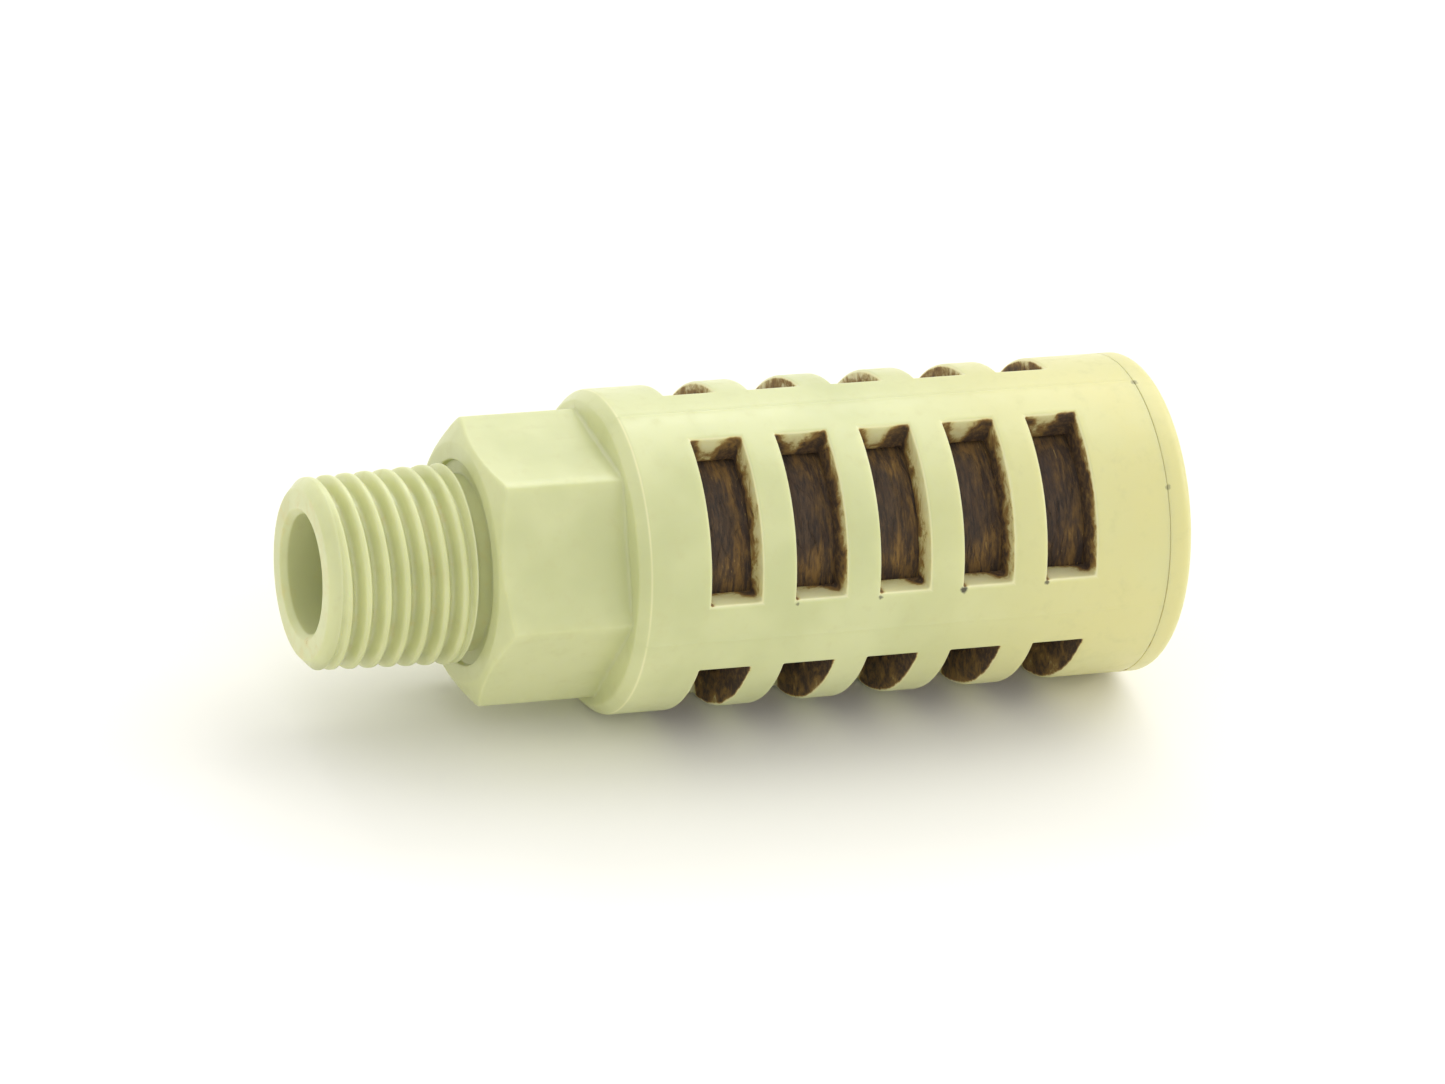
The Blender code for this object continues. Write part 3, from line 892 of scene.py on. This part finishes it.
# Paler resin colour for the window rims and walls: a painted highlight and a painted glow.
PAINTED_GLOW = tone(246, 241, 196)
OIL_HAZE = tone(206, 188, 108)
OIL_STAIN = tone(150, 118, 62)
# Crust colours, used for soot and for painted shade on the cage's window walls.
SOOT_AND_SHADE_DARK = tone(66, 51, 39)
SOOT_AND_SHADE_LIGHT = tone(116, 90, 54)
SPECK_BLACK = tone(40, 32, 24)
DOT_BROWN = tone(98, 74, 40)
FIBRE_BLACK = tone(50, 41, 36)
FIBRE_BROWN = tone(104, 84, 64)
FIBRE_PATCH = tone(70, 52, 40)
FIBRE_OCHRE = tone(156, 120, 64)
FIBRE_FLECK = tone(204, 170, 102)
PAPER = (0.9, 0.885, 0.83, 1.0)
PAPER_LIGHT = (0.93, 0.915, 0.86, 1.0)


def resin_material(name, light, deep, warm, dots):
    """Aged translucent cream resin, warmer towards the closed end, with soot where its soot value is high,
    and a painted highlight and glow where its edge value is high.

    dots is the share of cells, each about 3 mm across, that hold a fine brown dot.
    """
    g = Graph(name)
    at = g.metres()
    along = g.add("ShaderNodeSeparateXYZ", {"Vector": at}).outputs[0]
    broad = g.noise(at, 130, 3)
    fine = g.noise(at, 900, 4, 0.6)
    colour = g.mix(g.span(broad, 0.35, 0.68), light, deep)
    ageing = g.math("MULTIPLY", g.span(along, 0.024, 0.047), g.span(broad, 0.15, 0.6, 0.6, 1.0))
    colour = g.mix(ageing, colour, warm)
    colour = g.mix(g.math("MULTIPLY", g.span(fine, 0.5, 0.78), 0.3), colour, MOTTLE)
    # Painted highlight and glow: the edge value mixes in the paler colour on the window rims and walls.
    colour = g.mix(g.math("MULTIPLY", g.attribute("edge"), 0.7), colour, PAINTED_GLOW)
    colour, stain = add_soot(g, at, colour)
    colour = add_specks(g, at, colour)
    colour = add_dots(g, at, colour, dots)
    grain = g.noise(at, 5200, 2)
    height = g.math("ADD", g.math("MULTIPLY", grain, 0.25), g.math("MULTIPLY", fine, 0.75))
    height = g.math("ADD", height, g.math("MULTIPLY", stain, 0.8))
    rough = g.span(g.math("ADD", fine, stain), 0.3, 1.4, 0.3, 0.75)
    g.fill(
        g.shader,
        {
            "Base Color": colour,
            "Roughness": rough,
            "IOR": 1.52,
            "Subsurface Weight": 0.4,
            "Subsurface Radius": (1.0, 0.9, 0.45),
            "Subsurface Scale": 1.2 * MM,
            "Normal": g.bump(height, 0.25, 0.04 * MM),
        },
    )
    return g.material


def add_soot(g, at, colour):
    """Oil on the resin, in ragged layers: a yellow haze, then a brown stain, then a crust of soot. On the
    cage's window walls the soot value also holds painted shade, drawn in the same layers.
    """
    soot = g.attribute("soot")
    ragged = g.noise(at, 700, 6, 0.66, 0.5)
    reach = g.math("ADD", soot, g.math("MULTIPLY_ADD", ragged, 1.1, -0.55))
    haze = g.span(reach, 0.2, 0.6)
    stain = g.span(reach, 0.46, 0.68)
    crust = g.span(reach, 0.62, 0.86)
    flecks = g.noise(at, 2600, 4, 0.7)
    film = g.mix(g.span(flecks, 0.4, 0.68), SOOT_AND_SHADE_DARK, SOOT_AND_SHADE_LIGHT)
    colour = g.mix(g.math("MULTIPLY", haze, 0.55), colour, OIL_HAZE)
    colour = g.mix(stain, colour, OIL_STAIN)
    return g.mix(crust, colour, film), stain


def add_specks(g, at, colour):
    """The few larger specks of dirt, each a lumpy blot."""
    speck = None
    lumpy = g.math("MULTIPLY_ADD", g.noise(at, 3600, 2), 0.3 * MM, -0.15 * MM)
    for x, turn, size, strength in SPECKS:
        place = point_at(x, CAGE_RADIUS, math.radians(turn))
        away = g.add("ShaderNodeVectorMath", {0: at, 1: place}, operation="DISTANCE").outputs["Value"]
        one = g.span(g.math("ADD", away, lumpy), size * 1.35, size * 0.45, 0.0, strength)
        speck = one if speck is None else g.math("MAXIMUM", speck, one)
    return g.mix(speck, colour, SPECK_BLACK)


def add_dots(g, at, colour, dots):
    """Fine brown dots, each in the middle of a cell that is drawn by chance."""
    cells = g.add("ShaderNodeTexVoronoi", {"Vector": at, "Scale": 300.0, "Randomness": 1.0})
    chance = g.add("ShaderNodeSeparateColor", {"Color": cells.outputs["Color"]}).outputs[0]
    dot = g.math(
        "MULTIPLY",
        g.span(cells.outputs["Distance"], 0.075, 0.03),
        g.span(chance, 1 - dots, 1.005 - dots),
    )
    return g.mix(g.math("MULTIPLY", dot, 0.75), colour, DOT_BROWN)


def fibre_material():
    """Matted fibre soaked with brown and black oil mist, with ochre streaks round the sleeve, and painted
    shade on the neck side of each window where the ochre share is low.
    """
    g = Graph("oily_fibre")
    at = g.attribute("around", "Vector")
    strand_space = g.add("ShaderNodeMapping", {"Vector": at, "Scale": (0.2, 1.0, 1.0)}).outputs[0]
    strands = g.noise(strand_space, 5200, 6, 0.7, 0.25)
    bands = g.noise(strand_space, 2100, 6, 0.68, 0.3)
    patches = g.noise(at, 520, 6, 0.68, 0.3)
    dark = g.mix(g.span(strands, 0.35, 0.68), FIBRE_BLACK, FIBRE_BROWN)
    dark = g.mix(g.math("MULTIPLY", g.span(patches, 0.35, 0.65), 0.6), dark, FIBRE_PATCH)
    # A low ochre value, on the neck side of each window, keeps the mat dark: painted shade.
    share = g.math("ADD", g.attribute("ochre"), g.math("MULTIPLY_ADD", patches, 1.0, -0.5))
    streak = g.math("MULTIPLY", g.span(bands, 0.4, 0.66), g.span(share, 0.2, 0.75))
    colour = g.mix(g.math("MULTIPLY", streak, 0.85), dark, FIBRE_OCHRE)
    flecks = g.math("MULTIPLY", g.span(strands, 0.6, 0.72), g.span(share, 0.3, 0.8))
    colour = g.mix(g.math("MULTIPLY", flecks, 0.8), colour, FIBRE_FLECK)
    height = g.math("ADD", strands, g.math("MULTIPLY", bands, 0.7))
    g.fill(
        g.shader,
        {
            "Base Color": colour,
            "Roughness": g.span(strands, 0.3, 0.7, 0.62, 0.95),
            "Sheen Weight": 0.12,
            "Sheen Roughness": 0.5,
            "Normal": g.bump(height, 0.8, 0.12 * MM),
        },
    )
    return g.material


def floor_material():
    g = Graph("pale_floor")
    at = g.metres()
    drift = g.noise(at, 9, 3)
    colour = g.mix(g.span(drift, 0.3, 0.7), PAPER, PAPER_LIGHT)
    g.fill(g.shader, {"Base Color": colour, "Roughness": 0.7, "Specular IOR Level": 0.25})
    return g.material


# ---------------------------------------------------------------- stage, light and camera


def make_floor():
    mesh = bpy.data.meshes.new("floor")
    half = FLOOR_HALF
    corners = [(-half, -half), (half, -half), (half, half), (-half, half)]
    mesh.from_pydata([(x, y, -CAGE_RADIUS) for x, y in corners], [], [(0, 1, 2, 3)])
    floor = piece("floor", mesh)
    mesh.materials.append(floor_material())


def aim(obj, place, target):
    obj.location = place
    obj.rotation_mode = "QUATERNION"
    obj.rotation_quaternion = (Vector(target) - Vector(place)).to_track_quat("-Z", "Y")


def softbox(name, place, size, watts):
    data = bpy.data.lights.new(name, "AREA")
    data.shape = "RECTANGLE"
    data.size, data.size_y = size
    data.energy = watts
    light = bpy.data.objects.new(name, data)
    bpy.context.scene.collection.objects.link(light)
    aim(light, place, MODEL_CENTRE)


def light_studio():
    """White surroundings, a broad soft key from the right and behind, and two softboxes for the glints."""
    scene = bpy.context.scene
    world = bpy.data.worlds.new("studio")
    world.use_nodes = True
    background = world.node_tree.nodes["Background"]
    background.inputs["Color"].default_value = (1.0, 1.0, 1.0, 1.0)
    background.inputs["Strength"].default_value = WORLD_STRENGTH
    scene.world = world
    sun = bpy.data.lights.new("key", "SUN")
    sun.angle = KEY_ANGLE
    sun.energy = KEY_STRENGTH
    key = bpy.data.objects.new("key", sun)
    scene.collection.objects.link(key)
    aim(key, KEY_PLACE, (0.0, 0.0, 0.0))
    softbox("softbox_right", (0.55, -0.12, 0.22), (0.14, 0.14), 0.3)
    softbox("softbox_back", (0.08, 0.4, 0.42), (0.34, 0.12), 0.5)
    scene.view_settings.view_transform = "Standard"
    scene.view_settings.look = "None"
    scene.view_settings.exposure = 0.0


def add_camera():
    target = Vector(MODEL_CENTRE)
    away = Vector(
        (
            math.sin(CAMERA_AZIMUTH) * math.cos(CAMERA_ELEVATION),
            -math.cos(CAMERA_AZIMUTH) * math.cos(CAMERA_ELEVATION),
            math.sin(CAMERA_ELEVATION),
        )
    )
    data = bpy.data.cameras.new("camera")
    data.lens = LENS_MM
    data.sensor_width = SENSOR_MM
    data.clip_start = 0.02
    data.clip_end = 40.0
    camera = bpy.data.objects.new("camera", data)
    bpy.context.scene.collection.objects.link(camera)
    aim(camera, target + away * CAMERA_DISTANCE, target)
    turn = Matrix.Rotation(CAMERA_ROLL, 3, "Z").to_quaternion()
    camera.rotation_quaternion = camera.rotation_quaternion @ turn
    bpy.context.scene.camera = camera


# ---------------------------------------------------------------- the model


def dress(obj, material, node):
    obj.data.materials.clear()
    obj.data.materials.append(material)
    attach(obj, "root")
    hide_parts(node)


cage_resin = resin_material("cage_resin_aged", GREEN_CREAM, GREEN_CREAM_DEEP, WARM_CREAM, 0.05)
cap_resin = resin_material("cap_resin_aged", CAP_CREAM, CAP_CREAM_DEEP, WARM_CREAM, 0.03)
core_resin = resin_material("core_resin_oily", CORE_CREAM, CORE_CREAM_DEEP, CORE_CREAM_WARM, 0.1)

dress(make_body(), cage_resin, "muffler_body")
dress(make_cap(), cap_resin, "end_cap")
dress(make_sleeve(), fibre_material(), "absorber_sleeve")
dress(make_core(), core_resin, "core_tube")

make_floor()
light_studio()
add_camera()
